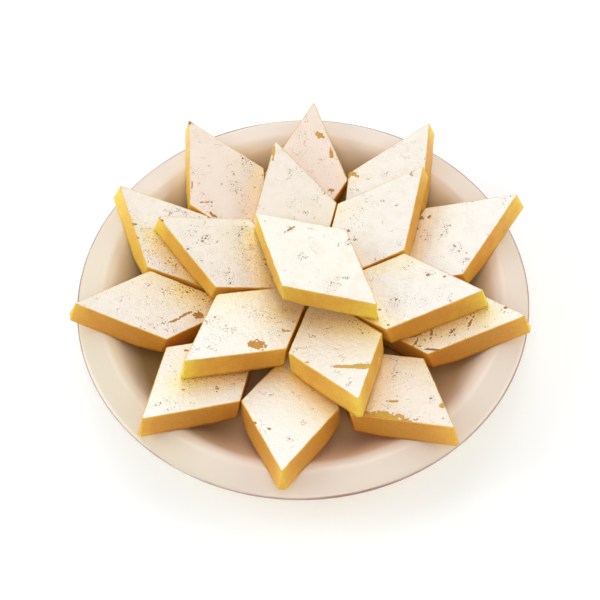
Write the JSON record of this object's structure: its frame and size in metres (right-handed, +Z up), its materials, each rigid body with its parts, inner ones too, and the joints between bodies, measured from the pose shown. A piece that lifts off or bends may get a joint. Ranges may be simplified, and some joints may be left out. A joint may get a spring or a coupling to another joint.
{
  "type": "bowl of cashew barfi",
  "caption": "Shallow round glazed bowl with diamond-cut cashew barfi, topped with silver leaf, laid in a sunburst of rings with one piece on top.",
  "frame": {"origin": "centre of the bowl's foot, on the surface that it stands on", "axes": "+Z up along the axis of the bowl; the picture's camera looks along +Y from above"},
  "size_m": [0.19, 0.19, 0.0426],
  "materials": {
    "glaze": "smooth ivory glaze, glossy",
    "barfi": null
  },
  "bodies": {
    "root": {"bowl": "glaze", "barfi_outer_1": "barfi", "barfi_outer_2": "barfi", "barfi_outer_3": "barfi", "barfi_outer_4": "barfi", "barfi_outer_5": "barfi", "barfi_outer_6": "barfi", "barfi_outer_7": "barfi", "barfi_outer_8": "barfi", "barfi_outer_9": "barfi", "barfi_outer_10": "barfi", "barfi_inner_1": "barfi", "barfi_inner_2": "barfi", "barfi_inner_3": "barfi", "barfi_inner_4": "barfi", "barfi_inner_5": "barfi", "barfi_inner_6": "barfi", "barfi_top": "barfi"}
  },
  "joints": []
}
